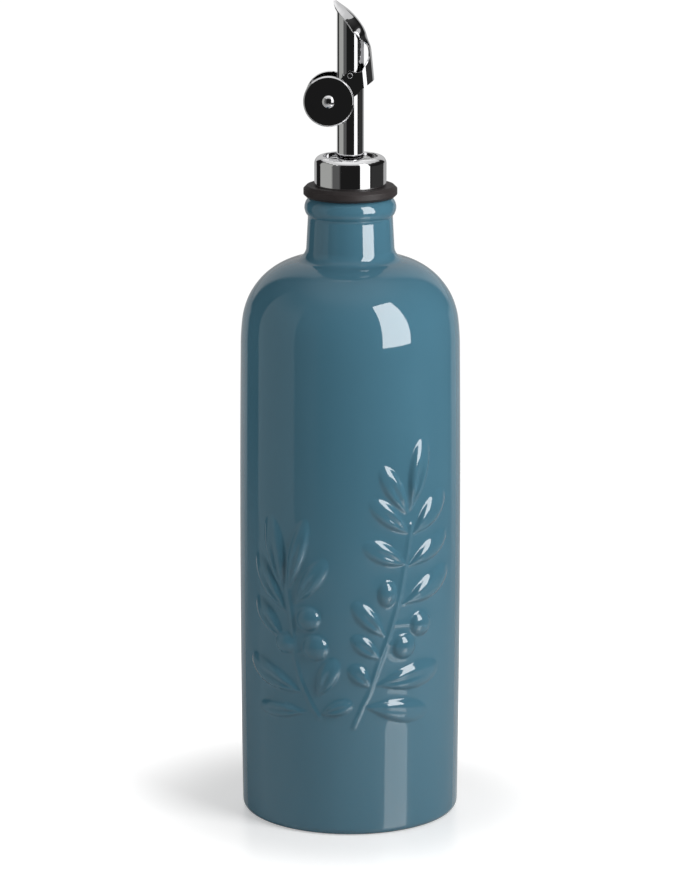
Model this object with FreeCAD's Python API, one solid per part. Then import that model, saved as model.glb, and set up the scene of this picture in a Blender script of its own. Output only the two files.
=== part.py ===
"""Oil dispenser bottle: a glazed ceramic bottle with a gravity-flap metal pourer.

Frame: +Z up, origin at the centre of the foot, millimetres. The pourer's spout tip
leans towards -X, the flap turns about an axis along Y, and the raised olive sprigs
are on the side that faces -Y.
"""
import FreeCAD, Part
import math
import os

V = FreeCAD.Vector
UP = V(0, 0, 1)
ACROSS = V(0, 1, 0)

# ---- bottle body, turned about the Z axis ----
belly_diameter = 78.9
belly_height = 58.0
foot_inset = 0.5
foot_corner_radius = 2.6
spring_height = 170.0
spring_inset = 0.45
shoulder_start_radius = 86.0
shoulder_start_turn = 6.9
dome_radius = 24.9
neck_base_diameter = 31.2
neck_fillet_radius = 4.7
neck_length = 10.1
neck_waist_diameter = 30.1
bead_rise = 4.1
bead_diameter = 32.5
bead_radius = 4.4
bead_to_lip = 3.8

# ---- raised olive sprigs on the body ----
relief_turn = 3.0
leaf_relief = 0.9
olive_relief = 1.7
stem_width = 1.8
stem_relief = 0.7
leaf_root_depth = 6.0
olive_plug_depth = 2.0
olive_plug_margin = 0.25

# ---- stopper ring, cap and spout ----
ring_diameter = 33.2
ring_thickness = 4.0
ring_top_bevel = 1.1
ring_bottom_bevel = 0.9
cap_diameter = 25.5
cap_height = 10.5
cap_shoulder_radius = 2.7
cap_well_diameter = 19.2
cap_well_depth = 1.7
cap_rim_round = 0.35
spout_diameter = 9.5
spout_wall = 0.7
spout_seat_depth = 6.0
spout_reach = 54.5
mouth_slope = 47.0
seat_clearance = 0.02

# ---- flap: one folded sheet with a lid, a back web and two arms ----
sheet = 0.6
flap_side_gap = 0.3
fold_radius = 3.0
pivot_x = 0.2
pivot_drop = 18.6
pivot_shank_diameter = 1.5
pivot_hole_clearance = 0.06
pivot_head_diameter = 2.2
pivot_head_thickness = 0.6
pivot_head_gap = 0.1
pivot_tab_radius = 1.8
lid_tip_forward = 6.0
lid_tip_rise = 25.3
web_top_back = 7.25
web_top_rise = 7.2
web_slant = 6.3
lid_edge_slope = 52.2
lid_edge_rise = 17.7
lid_taper_length = 11.0
web_foot_back = 8.3
web_foot_drop = 2.3
arm_edge_slope = 36.0
waist_depth_back = 6.5
waist_top_rise = 11.4
waist_mid_rise = 7.6
waist_bottom_rise = 1.5
waist_bottom_back = 4.3
lid_past_tip = 112.0
lid_tip_depth = 1.4
lid_edge_front = 3.4
arm_heel_back = 2.2

# ---- counterweight discs and their pin ----
weight_back = 7.5
weight_drop = 9.1
weight_diameter = 17.9
weight_thickness = 1.7
weight_edge_round = 0.35
weight_pin_diameter = 2.3
weight_pin_head_diameter = 4.4
weight_pin_head_height = 0.9
arm_tab_radius = 2.9

# ---- places worked out from the sizes above ----
belly_radius = belly_diameter / 2
foot_radius = belly_radius - foot_inset
spring_radius = belly_radius - spring_inset
ring_radius = ring_diameter / 2
cap_radius = cap_diameter / 2
spout_radius = spout_diameter / 2
bore_radius = spout_radius - spout_wall
flap_inner_half = spout_radius + flap_side_gap
flap_outer_half = flap_inner_half + sheet


def polar(centre, radius, degrees):
    """Point on a circle in the XZ plane, the angle counted up from +X."""
    angle = math.radians(degrees)
    return V(centre.x + radius * math.cos(angle), 0, centre.z + radius * math.sin(angle))


def shoulder_points():
    """Circle centres and tangent points of the shoulder, from the wall up to the neck."""
    start_centre = V(spring_radius - shoulder_start_radius, 0, spring_height)
    dome_start = polar(start_centre, shoulder_start_radius, shoulder_start_turn)
    dome_centre = polar(dome_start, -dome_radius, shoulder_start_turn)
    fillet_x = neck_base_diameter / 2 + neck_fillet_radius
    reach = dome_radius + neck_fillet_radius
    fillet_rise = math.sqrt(reach ** 2 - (fillet_x - dome_centre.x) ** 2)
    fillet_centre = V(fillet_x, 0, dome_centre.z + fillet_rise)
    dome_end_angle = math.degrees(math.atan2(fillet_rise, fillet_x - dome_centre.x))
    return start_centre, dome_centre, fillet_centre, dome_end_angle


neck_base_height = shoulder_points()[2].z
neck_waist_height = neck_base_height + neck_length
bead_height = neck_waist_height + bead_rise
lip_height = bead_height + bead_to_lip
cap_base = lip_height + ring_thickness
cap_top = cap_base + cap_height
cap_well_floor = cap_top - cap_well_depth
spout_base = cap_well_floor - spout_seat_depth
mouth_tip = spout_base + spout_reach + spout_seat_depth
mouth_centre = mouth_tip - spout_radius * math.tan(math.radians(mouth_slope))
pivot_height = mouth_centre - pivot_drop
pivot = V(pivot_x, 0, pivot_height)
weight_centre = V(pivot_x - weight_back, 0, pivot_height - weight_drop)


def face_of(edges):
    """Flat face inside a closed run of edges."""
    return Part.Face(Part.Wire(Part.__sortEdges__(edges)))


def line(start, end):
    """Straight edge."""
    return Part.LineSegment(start, end).toShape()


def arc(start, middle, end):
    """Arc edge through three points."""
    return Part.Arc(start, middle, end).toShape()


def outward(solid):
    """The same solid with its faces pointing out."""
    if solid.Volume < 0:
        solid.reverse()
    return solid


def turned(edges):
    """Solid of revolution of a half section about the Z axis."""
    return outward(face_of(edges).revolve(V(0, 0, 0), UP, 360))


def across(face_edges, half_width):
    """Solid between -half_width and +half_width in Y, from a closed outline in XZ."""
    face = face_of(face_edges)
    face.translate(V(0, -half_width, 0))
    return face.extrude(V(0, 2 * half_width, 0))


def body_blank():
    """Ceramic body without its relief, from foot to lip."""
    start_centre, dome_centre, fillet_centre, dome_end = shoulder_points()
    axis_foot = V(0, 0, 0)
    foot_edge = V(foot_radius - foot_corner_radius, 0, 0)
    corner_centre = V(foot_radius - foot_corner_radius, 0, foot_corner_radius)
    foot_side = V(foot_radius, 0, foot_corner_radius)
    belly = V(belly_radius, 0, belly_height)
    spring = V(spring_radius, 0, spring_height)
    dome_start = polar(dome_centre, dome_radius, shoulder_start_turn)
    dome_stop = polar(dome_centre, dome_radius, dome_end)
    neck_base = V(neck_base_diameter / 2, 0, neck_base_height)
    waist = V(neck_waist_diameter / 2, 0, neck_waist_height)
    bead_centre = V(bead_diameter / 2 - bead_radius, 0, bead_height)
    bead_angle = math.degrees(math.acos((waist.x - bead_centre.x) / bead_radius))
    bead_start = polar(bead_centre, bead_radius, -bead_angle)
    lip_angle = math.degrees(math.asin(bead_to_lip / bead_radius))
    lip = polar(bead_centre, bead_radius, lip_angle)
    axis_lip = V(0, 0, lip_height)
    edges = [
        line(axis_foot, foot_edge),
        arc(foot_edge, polar(corner_centre, foot_corner_radius, -45), foot_side),
        arc(foot_side, belly, spring),
        arc(spring, polar(start_centre, shoulder_start_radius, shoulder_start_turn / 2), dome_start),
        arc(dome_start, polar(dome_centre, dome_radius, (shoulder_start_turn + dome_end) / 2), dome_stop),
        arc(dome_stop, polar(fillet_centre, neck_fillet_radius, 180 + dome_end / 2), neck_base),
        line(neck_base, waist),
        line(waist, bead_start),
        arc(bead_start, polar(bead_centre, bead_radius, 0), lip),
        line(lip, axis_lip),
        line(axis_lip, axis_foot),
    ]
    return turned(edges)


class Sprig:
    """A stem that climbs the wall, with leaves and olives set along it.

    The wall is unrolled: every place is (distance round the wall, height), with the
    distance counted from the middle of the decorated side.
    """

    def __init__(self, stem, leaves, olives):
        self.stem = stem
        self.leaves = leaves
        self.olives = olives


# A leaf is (round, height) of its root, its length, its width and its lean from upright.
left_sprig = Sprig(
    stem=[(-23, 90), (-21, 75), (-19, 60), (-16, 51), (-11, 44)],
    leaves=[
        (-25, 88, 28, 8.2, -13),
        (-23, 88, 28, 6.4, 14),
        (-24, 81, 24, 7.9, -38),
        (-20, 84, 21, 7.0, 34),
        (-24, 71, 19, 7.7, -48),
        (-17, 52, 27, 8.5, -70),
        (-15, 45, 22, 5.8, -93),
        (-11, 51, 16, 7.1, 23),
        (-10, 45, 12, 5.0, 70),
    ],
    olives=[(-15, 79.5, 4.2), (-24.3, 69.8, 3.8), (-12.4, 69, 4.6)],
)
right_sprig = Sprig(
    stem=[(22, 112), (20, 99), (17, 85), (13, 71), (8, 57), (4, 47), (1, 40)],
    leaves=[
        (22, 117, 27, 7.7, 14),
        (21, 116, 21, 6.3, -28),
        (22, 109, 20, 6.2, -48),
        (21, 98, 19, 6.8, -62),
        (23, 109, 21, 9.3, 50),
        (21, 98, 22, 7.2, 64),
        (19, 84, 25, 8.7, 66),
        (13, 73, 18, 5.7, -42),
        (11, 65, 13.5, 5.3, -50),
        (7, 55, 11, 5.6, -42),
        (9, 55.5, 27, 9.2, 82),
        (5, 48, 25.5, 8.3, 100),
    ],
    olives=[(13, 89, 3.6), (26.6, 76.4, 4.4), (19.7, 69, 4.4)],
)


def wall_degrees(round_distance):
    """Angle about the Z axis of a place on the wall, counted from +X."""
    return math.degrees(round_distance / belly_radius) - 90 + relief_turn


def set_on_wall(shape, round_distance, height):
    """Move a shape made at the origin, facing +X, onto the wall."""
    shape.rotate(V(0, 0, 0), UP, wall_degrees(round_distance))
    shape.translate(V(0, 0, height))
    return shape


def leaf(round_distance, height, length, width, lean):
    """One pointed leaf, cut off by the cylinder that the relief rises to."""
    slope = math.radians(lean)
    half = length / 2
    middle_round = round_distance + half * math.sin(slope)
    middle_height = height + half * math.cos(slope)
    root = V(belly_radius - leaf_root_depth, 0, -half)
    tip = V(belly_radius - leaf_root_depth, 0, half)
    left = V(root.x, -width / 2, 0)
    right = V(root.x, width / 2, 0)
    blade = face_of([arc(root, left, tip), arc(tip, right, root)])
    blade = blade.extrude(V(leaf_root_depth + olive_relief, 0, 0))
    blade.rotate(V(0, 0, 0), V(1, 0, 0), -lean)
    return set_on_wall(blade, middle_round, middle_height)


def olive(round_distance, height, radius):
    """One olive: the cap of a larger ball that stands out of the wall, on a short plug."""
    ball_radius = (radius ** 2 + olive_relief ** 2) / (2 * olive_relief)
    ball_centre = V(belly_radius + olive_relief - ball_radius, 0, 0)
    ball = Part.makeSphere(ball_radius, ball_centre, V(1, 0, 0))
    plug_foot = V(belly_radius - olive_plug_depth, 0, 0)
    plug = Part.makeCylinder(radius + olive_plug_margin, 2 * olive_plug_depth, plug_foot, V(1, 0, 0))
    return set_on_wall(ball.common(plug), round_distance, height)


def stem_run(start, end, limit):
    """One straight run of a stem between two places on the wall, cut off by the limit."""
    round_run = end[0] - start[0]
    rise = end[1] - start[1]
    length = math.hypot(round_run, rise) + stem_width / 2
    corner = V(belly_radius - leaf_root_depth, -stem_width / 2, -length / 2)
    bar = Part.makeBox(2 * leaf_root_depth, stem_width, length, corner)
    bar.rotate(V(0, 0, 0), V(1, 0, 0), -math.degrees(math.atan2(round_run, rise)))
    return set_on_wall(bar, (start[0] + end[0]) / 2, (start[1] + end[1]) / 2).common(limit)


def bottle():
    """Ceramic bottle with its raised sprigs, one solid."""
    leaf_limit = Part.makeCylinder(belly_radius + leaf_relief, spring_height)
    stem_limit = Part.makeCylinder(belly_radius + stem_relief, spring_height)
    flat_relief = []
    olives = []
    for sprig in (left_sprig, right_sprig):
        flat_relief += [leaf(*item).common(leaf_limit) for item in sprig.leaves]
        flat_relief += [stem_run(*run, stem_limit) for run in zip(sprig.stem, sprig.stem[1:])]
        olives += [olive(*item) for item in sprig.olives]
    return body_blank().fuse(flat_relief).fuse(olives)


def stopper():
    """Rubber ring between the lip and the cap, bevelled at both outer edges."""
    z0 = lip_height
    z1 = cap_base
    section = [
        V(0, 0, z0),
        V(ring_radius - ring_bottom_bevel, 0, z0),
        V(ring_radius, 0, z0 + ring_bottom_bevel),
        V(ring_radius, 0, z1 - ring_top_bevel),
        V(ring_radius - ring_top_bevel, 0, z1),
        V(0, 0, z1),
    ]
    return turned([line(a, b) for a, b in zip(section, section[1:] + section[:1])])


def cap():
    """Metal cap: a rounded outer shoulder, a sunk well and the socket of the spout."""
    socket_radius = spout_radius + seat_clearance
    well_radius = cap_well_diameter / 2
    shoulder_centre = V(cap_radius - cap_shoulder_radius, 0, cap_top - cap_shoulder_radius)
    rim_centre = V(well_radius + cap_rim_round, 0, cap_top - cap_rim_round)
    axis_base = V(0, 0, cap_base)
    side_base = V(cap_radius, 0, cap_base)
    side_top = V(cap_radius, 0, shoulder_centre.z)
    rim_outer = V(shoulder_centre.x, 0, cap_top)
    rim_inner = V(rim_centre.x, 0, cap_top)
    well_top = V(well_radius, 0, rim_centre.z)
    well_foot = V(well_radius, 0, cap_well_floor)
    socket_top = V(socket_radius, 0, cap_well_floor)
    socket_foot = V(socket_radius, 0, spout_base)
    axis_socket = V(0, 0, spout_base)
    return turned([
        line(axis_base, side_base),
        line(side_base, side_top),
        arc(side_top, polar(shoulder_centre, cap_shoulder_radius, 45), rim_outer),
        line(rim_outer, rim_inner),
        arc(rim_inner, polar(rim_centre, cap_rim_round, 135), well_top),
        line(well_top, well_foot),
        line(well_foot, socket_top),
        line(socket_top, socket_foot),
        line(socket_foot, axis_socket),
        line(axis_socket, axis_base),
    ])


def rod_across(radius, centre, half_length):
    """Round rod along Y, centred on the XZ plane."""
    return Part.makeCylinder(radius, 2 * half_length, centre - ACROSS * half_length, ACROSS)


def spout():
    """Tube with a slanted mouth and a hole each side for the pivot studs."""
    length = mouth_tip - spout_base
    tube = Part.makeCylinder(spout_radius, length, V(0, 0, spout_base))
    bore = Part.makeCylinder(bore_radius, length, V(0, 0, spout_base))
    slope = math.tan(math.radians(mouth_slope))
    reach = 2 * spout_radius
    left = V(-reach, 0, mouth_centre + reach * slope)
    right = V(reach, 0, mouth_centre - reach * slope)
    waste = across([line(left, right), line(right, V(reach, 0, left.z)), line(V(reach, 0, left.z), left)], reach)
    holes = rod_across(pivot_shank_diameter / 2 + seat_clearance, pivot, reach)
    return tube.cut([bore, waste, holes])


def pivot_stud(side):
    """Headed stud that carries one arm of the flap; side is -1 at the front, +1 at the back."""
    inner = math.sqrt(bore_radius ** 2 - (abs(pivot_x) + pivot_shank_diameter / 2) ** 2)
    head_start = flap_outer_half + pivot_head_gap
    outward = ACROSS * side
    shank = Part.makeCylinder(pivot_shank_diameter / 2, head_start - inner, pivot + outward * inner, outward)
    shank = shank.cut(Part.makeCylinder(bore_radius, spout_reach, V(0, 0, pivot_height - spout_reach / 2)))
    head = Part.makeCylinder(pivot_head_diameter / 2, pivot_head_thickness, pivot + outward * head_start, outward)
    rim = [edge for edge in head.Edges if abs(edge.CenterOfMass.y) > head_start + pivot_head_thickness * 0.9]
    head = head.makeFillet(pivot_head_thickness * 0.6, rim)
    return shank.fuse(head)


def fold_edges(block, half):
    """The long edges of a block where the sheet folds from the back into its sides."""
    folds = []
    for edge in block.Edges:
        place = edge.CenterOfMass
        start = edge.valueAt(edge.FirstParameter)
        end = edge.valueAt(edge.LastParameter)
        on_side = abs(abs(place.y) - half) < 1e-6
        is_crown = edge.Curve.TypeId == "Part::GeomCircle"
        is_web = min(start.x, end.x) > pivot_x and abs(start.z - end.z) > sheet
        if on_side and (is_crown or is_web):
            folds.append(edge)
    return folds


def flap_layer(depth):
    """Solid block inside the sheet's outer face, moved in by depth, with rounded folds."""
    slant = math.radians(web_slant)
    web_top = pivot + V(web_top_back, 0, web_top_rise)
    down = V(math.sin(slant), 0, -math.cos(slant))
    inward = V(-math.cos(slant), 0, -math.sin(slant))
    chord = pivot + V(-lid_tip_forward, 0, lid_tip_rise) - web_top
    crown_radius = chord.Length ** 2 / (2 * chord.dot(inward))
    crown_centre = web_top + inward * crown_radius
    radius = crown_radius - depth
    half = flap_outer_half - depth
    back_top = polar(crown_centre, radius, web_slant)
    back_foot = back_top + down * (web_top_rise + weight_drop)
    front_top = polar(crown_centre, radius, lid_past_tip)
    front_foot = V(front_top.x, 0, back_foot.z)
    middle = polar(crown_centre, radius, (lid_past_tip + web_slant) / 2)
    block = across([
        arc(front_top, middle, back_top),
        line(back_top, back_foot),
        line(back_foot, front_foot),
        line(front_foot, front_top),
    ], half)
    return outward(block.makeFillet(fold_radius - depth, fold_edges(block, half)))


def tangent_point(centre_a, radius_a, centre_b, radius_b, side):
    """Points where an outer tangent touches two circles in XZ, on the given side of a to b."""
    run = centre_b - centre_a
    lean = math.asin((radius_a - radius_b) / run.Length)
    heading = math.atan2(run.z, run.x) + side * (math.pi / 2 - lean)
    offset = V(math.cos(heading), 0, math.sin(heading))
    return centre_a + offset * radius_a, centre_b + offset * radius_b


def flap_side_outline():
    """Closed outline of the flap seen from the front: lid edge, waist and arm."""
    slope = math.tan(math.radians(lid_edge_slope))
    edge_at = pivot + V(-pivot_x, 0, lid_edge_rise)
    tip_under = pivot + V(-lid_tip_forward, 0, lid_tip_rise - lid_tip_depth)
    tip_out = tip_under + V(-sheet, 0, 3 * lid_tip_depth)
    lid_edge_start = edge_at + V(-lid_edge_front, 0, lid_edge_front * slope)
    waist_top_x = edge_at.x + (edge_at.z - pivot.z - waist_top_rise) / slope
    waist_top = V(waist_top_x, 0, pivot.z + waist_top_rise)
    waist_middle = pivot + V(waist_depth_back, 0, waist_mid_rise)
    waist_bottom = pivot + V(waist_bottom_back, 0, waist_bottom_rise)
    far = 2 * web_foot_back
    back_high = V(pivot.x + far, 0, tip_out.z)
    arm_slope = math.tan(math.radians(arm_edge_slope))
    web_foot = pivot + V(web_foot_back, 0, -web_foot_drop)
    back_low = web_foot + V(far - web_foot_back, 0, (far - web_foot_back) * arm_slope)
    arm_foot = V(weight_centre.x + weight_back + arm_heel_back, 0, 0)
    arm_foot.z = web_foot.z - (web_foot.x - arm_foot.x) * arm_slope
    heel, _ = tangent_point(weight_centre, arm_tab_radius, arm_foot, 0, -1)
    tab_low, tab_high = tangent_point(weight_centre, arm_tab_radius, pivot, pivot_tab_radius, 1)
    tab_far = weight_centre + V(-arm_tab_radius, 0, 0)
    tab_top = pivot + V(0, 0, pivot_tab_radius)
    around = (tab_high - pivot + tab_top - pivot).normalize()
    return [
        line(tip_out, tip_under),
        line(tip_under, lid_edge_start),
        line(lid_edge_start, waist_top),
        arc(waist_top, waist_middle, waist_bottom),
        line(waist_bottom, tab_top),
        arc(tab_top, pivot + around * pivot_tab_radius, tab_high),
        line(tab_high, tab_low),
        arc(tab_low, tab_far, heel),
        line(heel, arm_foot),
        line(arm_foot, back_low),
        line(back_low, back_high),
        line(back_high, tip_out),
    ]


def lid_plan():
    """Block that rounds the lid's tip as seen from behind, and leaves all below it."""
    tip = pivot.z + lid_tip_rise + sheet
    start = tip - lid_taper_length
    half = flap_outer_half
    foot = weight_centre.z - weight_diameter
    shoulder = math.sqrt(0.5)
    top = V(0, 0, tip)
    right = V(0, half, start)
    left = V(0, -half, start)
    outline = face_of([
        arc(right, V(0, half * shoulder, start + lid_taper_length * shoulder), top),
        arc(top, V(0, -half * shoulder, start + lid_taper_length * shoulder), left),
        line(left, V(0, -half, foot)),
        line(V(0, -half, foot), V(0, half, foot)),
        line(V(0, half, foot), right),
    ])
    outline.translate(V(-weight_diameter, 0, 0))
    return outline.extrude(V(2 * weight_diameter, 0, 0))


def flap():
    """Folded sheet: lid over the mouth, web behind the spout, one arm down each side."""
    sheet_metal = flap_layer(0).cut(flap_layer(sheet))
    trimmed = sheet_metal.common(across(flap_side_outline(), 2 * flap_outer_half)).common(lid_plan())
    pivot_hole = rod_across(pivot_shank_diameter / 2 + pivot_hole_clearance, pivot, 2 * flap_outer_half)
    pin_hole = rod_across(weight_pin_diameter / 2, weight_centre, 2 * flap_outer_half)
    return trimmed.cut([pivot_hole, pin_hole])


def weight(side):
    """Counterweight disc on the outside of one arm, its outer rim rounded."""
    outward_axis = ACROSS * side
    disc = Part.makeCylinder(
        weight_diameter / 2, weight_thickness, weight_centre + outward_axis * flap_outer_half, outward_axis)
    outer_face = flap_outer_half + weight_thickness
    rim = [edge for edge in disc.Edges if abs(abs(edge.CenterOfMass.y) - outer_face) < 1e-6]
    disc = disc.makeFillet(weight_edge_round, rim)
    return disc.cut(rod_across(weight_pin_diameter / 2, weight_centre, 2 * outer_face))


def weight_pin():
    """Pin with a domed head at each end that holds both discs and both arms."""
    outer_face = flap_outer_half + weight_thickness
    pin = rod_across(weight_pin_diameter / 2, weight_centre, outer_face)
    head_radius = weight_pin_head_diameter / 2
    ball_radius = (head_radius ** 2 + weight_pin_head_height ** 2) / (2 * weight_pin_head_height)
    heads = []
    for side in (-1, 1):
        axis = ACROSS * side
        ball = Part.makeSphere(ball_radius, weight_centre + axis * (outer_face + weight_pin_head_height - ball_radius))
        keep = Part.makeCylinder(head_radius, weight_pin_head_height, weight_centre + axis * outer_face, axis)
        heads.append(ball.common(keep))
    return pin.fuse(heads)


PIECES = {
    "bottle": bottle(),
    "stopper": stopper(),
    "cap": cap(),
    "spout": spout(),
    "pivot_stud_front": pivot_stud(-1),
    "pivot_stud_rear": pivot_stud(1),
    "flap": flap(),
    "weight_front": weight(-1),
    "weight_rear": weight(1),
    "weight_pin": weight_pin(),
}

os.makedirs("parts", exist_ok=True)
for name, shape in PIECES.items():
    solid = shape.Solids[0]
    print(name, len(shape.Solids), shape.isValid(), round(solid.Volume, 2), solid.BoundBox)
    solid.exportStep("parts/" + name + ".step")
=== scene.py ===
"""Looks of the oil dispenser bottle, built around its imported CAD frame.

Frame: metres, +Z up, origin at the centre of the foot. The spout's tip leans towards
-X, the flap turns about an axis along Y, and the raised olive sprigs face -Y.
Sizes in the classes of the pieces are in millimetres and become metres when a mesh
is made. Sizes in the finishes and in the studio are in metres.
"""
import logging
import math
from dataclasses import dataclass, field
from enum import Enum
from typing import Any, Sequence

import bpy
import numpy as np
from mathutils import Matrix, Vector
from mathutils.geometry import delaunay_2d_cdt


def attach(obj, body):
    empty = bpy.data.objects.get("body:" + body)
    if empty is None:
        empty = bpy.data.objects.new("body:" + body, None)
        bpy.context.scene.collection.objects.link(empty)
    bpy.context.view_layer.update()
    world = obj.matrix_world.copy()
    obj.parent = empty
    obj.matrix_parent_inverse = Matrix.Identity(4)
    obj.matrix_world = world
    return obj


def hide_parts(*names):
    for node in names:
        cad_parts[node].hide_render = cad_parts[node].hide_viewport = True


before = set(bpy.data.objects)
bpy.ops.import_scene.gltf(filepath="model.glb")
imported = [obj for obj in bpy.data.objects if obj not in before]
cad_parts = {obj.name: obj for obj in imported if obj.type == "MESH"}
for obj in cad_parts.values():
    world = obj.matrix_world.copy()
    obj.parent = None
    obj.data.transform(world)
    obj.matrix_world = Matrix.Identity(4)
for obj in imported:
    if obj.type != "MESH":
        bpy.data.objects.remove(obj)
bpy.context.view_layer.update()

MM = 0.001
LOG = logging.getLogger("oil_bottle")

Place = tuple[float, float]
Spot = tuple[float, float, float]
Colour = tuple[float, float, float]


class Body(Enum):
    """The moving bodies of the frame."""

    BOTTLE = "bottle_and_pourer"
    FLAP = "flap"


class Slot(Enum):
    """The material slots of the record."""

    GLAZE = "glaze"
    RUBBER = "rubber"
    STEEL = "polished_metal"
    WEIGHT = "weight_metal"


class Side(Enum):
    """The two sides of the pourer, -Y and +Y."""

    FRONT = "front"
    REAR = "rear"


# ---------------------------------------------------------------- node trees

class Socket:
    """An output socket whose arithmetic adds Math nodes to its tree."""

    def __init__(self, graph: "Graph", output: bpy.types.NodeSocket) -> None:
        """Wraps one output socket of a graph."""
        self.graph = graph
        self.output = output

    def apply(self, operation: str, *values: Any) -> "Socket":
        """Adds a Math node.

        Args:
            operation: the Math node's operation.
            values: its inputs in order, sockets or numbers.

        Returns:
            The node's result.
        """
        inputs = dict(enumerate(values))
        return self.graph.out("ShaderNodeMath", {"operation": operation}, inputs)

    def __add__(self, other: Any) -> "Socket":
        """Sum."""
        return self.apply("ADD", self, other)

    def __radd__(self, other: Any) -> "Socket":
        """Reflected sum."""
        return self.apply("ADD", other, self)

    def __sub__(self, other: Any) -> "Socket":
        """Difference."""
        return self.apply("SUBTRACT", self, other)

    def __rsub__(self, other: Any) -> "Socket":
        """Reflected difference."""
        return self.apply("SUBTRACT", other, self)

    def __mul__(self, other: Any) -> "Socket":
        """Product."""
        return self.apply("MULTIPLY", self, other)

    def __rmul__(self, other: Any) -> "Socket":
        """Reflected product."""
        return self.apply("MULTIPLY", other, self)

    def __truediv__(self, other: Any) -> "Socket":
        """Quotient."""
        return self.apply("DIVIDE", self, other)


class Graph:
    """A node tree that is filled by short calls."""

    def __init__(self, tree: bpy.types.NodeTree) -> None:
        """Wraps a tree, shader or geometry."""
        self.tree = tree

    def put(self, socket: bpy.types.NodeSocket, value: Any) -> None:
        """Feeds one input.

        Args:
            socket: the input.
            value: a Socket to link to it, or its constant.
        """
        if isinstance(value, Socket):
            self.tree.links.new(value.output, socket)
        else:
            socket.default_value = value

    def feed(self, node: bpy.types.Node, inputs: dict[Any, Any]) -> None:
        """Feeds several inputs of a node, by their names or numbers."""
        for name, value in inputs.items():
            self.put(node.inputs[name], value)

    def node(self, kind: str, settings: dict[str, Any] | None = None,
             inputs: dict[Any, Any] | None = None) -> bpy.types.Node:
        """Adds a node.

        Args:
            kind: the node's type.
            settings: its properties, set before its sockets.
            inputs: values or sockets, by the input's name or number.

        Returns:
            The new node.
        """
        node = self.tree.nodes.new(kind)
        for name, value in (settings or {}).items():
            setattr(node, name, value)
        self.feed(node, inputs or {})
        return node

    def out(self, kind: str, settings: dict[str, Any] | None = None,
            inputs: dict[Any, Any] | None = None, output: Any = 0) -> Socket:
        """Adds a node and returns one of its outputs, the first unless another is named."""
        return Socket(self, self.node(kind, settings, inputs).outputs[output])

    def parts(self, vector: Socket) -> list[Socket]:
        """The three parts of a vector."""
        node = self.node("ShaderNodeSeparateXYZ", None, {"Vector": vector})
        return [Socket(self, output) for output in node.outputs]

    def ramp(self, value: Socket, span: Place, ends: Place = (0.0, 1.0)) -> Socket:
        """Smooth change from one end to the other while value goes over the span."""
        return self.out("ShaderNodeMapRange", {"interpolation_type": "SMOOTHSTEP"},
                        {"Value": value, "From Min": span[0], "From Max": span[1],
                         "To Min": ends[0], "To Max": ends[1]})

    def noise(self, scale: float, detail: float = 2.0, stretch: Sequence[float] = (1, 1, 1)) -> Socket:
        """Noise on object coordinates.

        Args:
            scale: how fine it is, counted per metre.
            detail: its finer layers.
            stretch: its fineness along each axis, as a share.

        Returns:
            The noise, 0 to 1.
        """
        place = self.out("ShaderNodeTexCoord", output="Object")
        place = self.out("ShaderNodeMapping", None, {"Vector": place, "Scale": tuple(stretch)})
        return self.out("ShaderNodeTexNoise", None,
                        {"Vector": place, "Scale": scale, "Detail": detail}, "Fac")

    def blend(self, factor: Socket, first: Any, second: Any) -> Socket:
        """Mixes two colours.

        Args:
            factor: share of the second.
            first: a colour or a colour Socket.
            second: another.

        Returns:
            The mixed colour.
        """
        node = self.node("ShaderNodeMix", {"data_type": "RGBA"})
        inputs = {socket.identifier: socket for socket in node.inputs}
        self.put(inputs["Factor_Float"], factor)
        for name, colour in (("A_Color", first), ("B_Color", second)):
            self.put(inputs[name], colour if isinstance(colour, Socket) else (*colour, 1.0))
        return Socket(self, next(item for item in node.outputs if item.identifier == "Result_Color"))

    def bump(self, height: Socket, distance: float, strength: float) -> Socket:
        """Bump from a height."""
        return self.out("ShaderNodeBump", None,
                        {"Height": height, "Distance": distance, "Strength": strength}, "Normal")


# ---------------------------------------------------------------- finishes

class Finish:
    """What every finish shares: an empty material with its surface shader."""

    def start(self, name: str) -> tuple[bpy.types.Material, Graph, bpy.types.Node]:
        """Makes a material.

        Args:
            name: the material's name.

        Returns:
            The material, its graph and its Principled shader.
        """
        material = bpy.data.materials.new(name)
        material.use_nodes = True
        graph = Graph(material.node_tree)
        return material, graph, material.node_tree.nodes["Principled BSDF"]


@dataclass(frozen=True)
class GlazeFinish(Finish):
    """Glossy teal glaze: a deep colour with slow drifts, dark specks and a faint orange-peel skin."""

    deep: Colour = (0.047, 0.124, 0.172)
    thin: Colour = (0.053, 0.136, 0.187)
    drift_scale: float = 22.0
    drift_stretch: Spot = (1, 1, 0.35)
    drift_span: Place = (0.35, 0.65)
    speck: Colour = (0.02, 0.07, 0.10)
    speck_scale: float = 900.0
    speck_span: Place = (0.70, 0.80)
    speck_share: float = 0.10
    peel_scale: float = 160.0
    peel_depth: float = 0.00002
    peel_strength: float = 0.25
    roughness: float = 0.035
    ior: float = 1.58

    def build(self) -> bpy.types.Material:
        """Builds the glaze.

        Returns:
            Its material.
        """
        material, graph, shader = self.start("teal_glaze")
        drift = graph.noise(self.drift_scale, detail=3.0, stretch=self.drift_stretch)
        colour = graph.blend(graph.ramp(drift, self.drift_span), self.deep, self.thin)
        speck = graph.ramp(graph.noise(self.speck_scale), self.speck_span)
        peel = graph.noise(self.peel_scale)
        graph.feed(shader, {
            "Base Color": graph.blend(speck * self.speck_share, colour, self.speck),
            "Roughness": self.roughness,
            "IOR": self.ior,
            "Normal": graph.bump(peel, self.peel_depth, self.peel_strength),
        })
        return material


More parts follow.
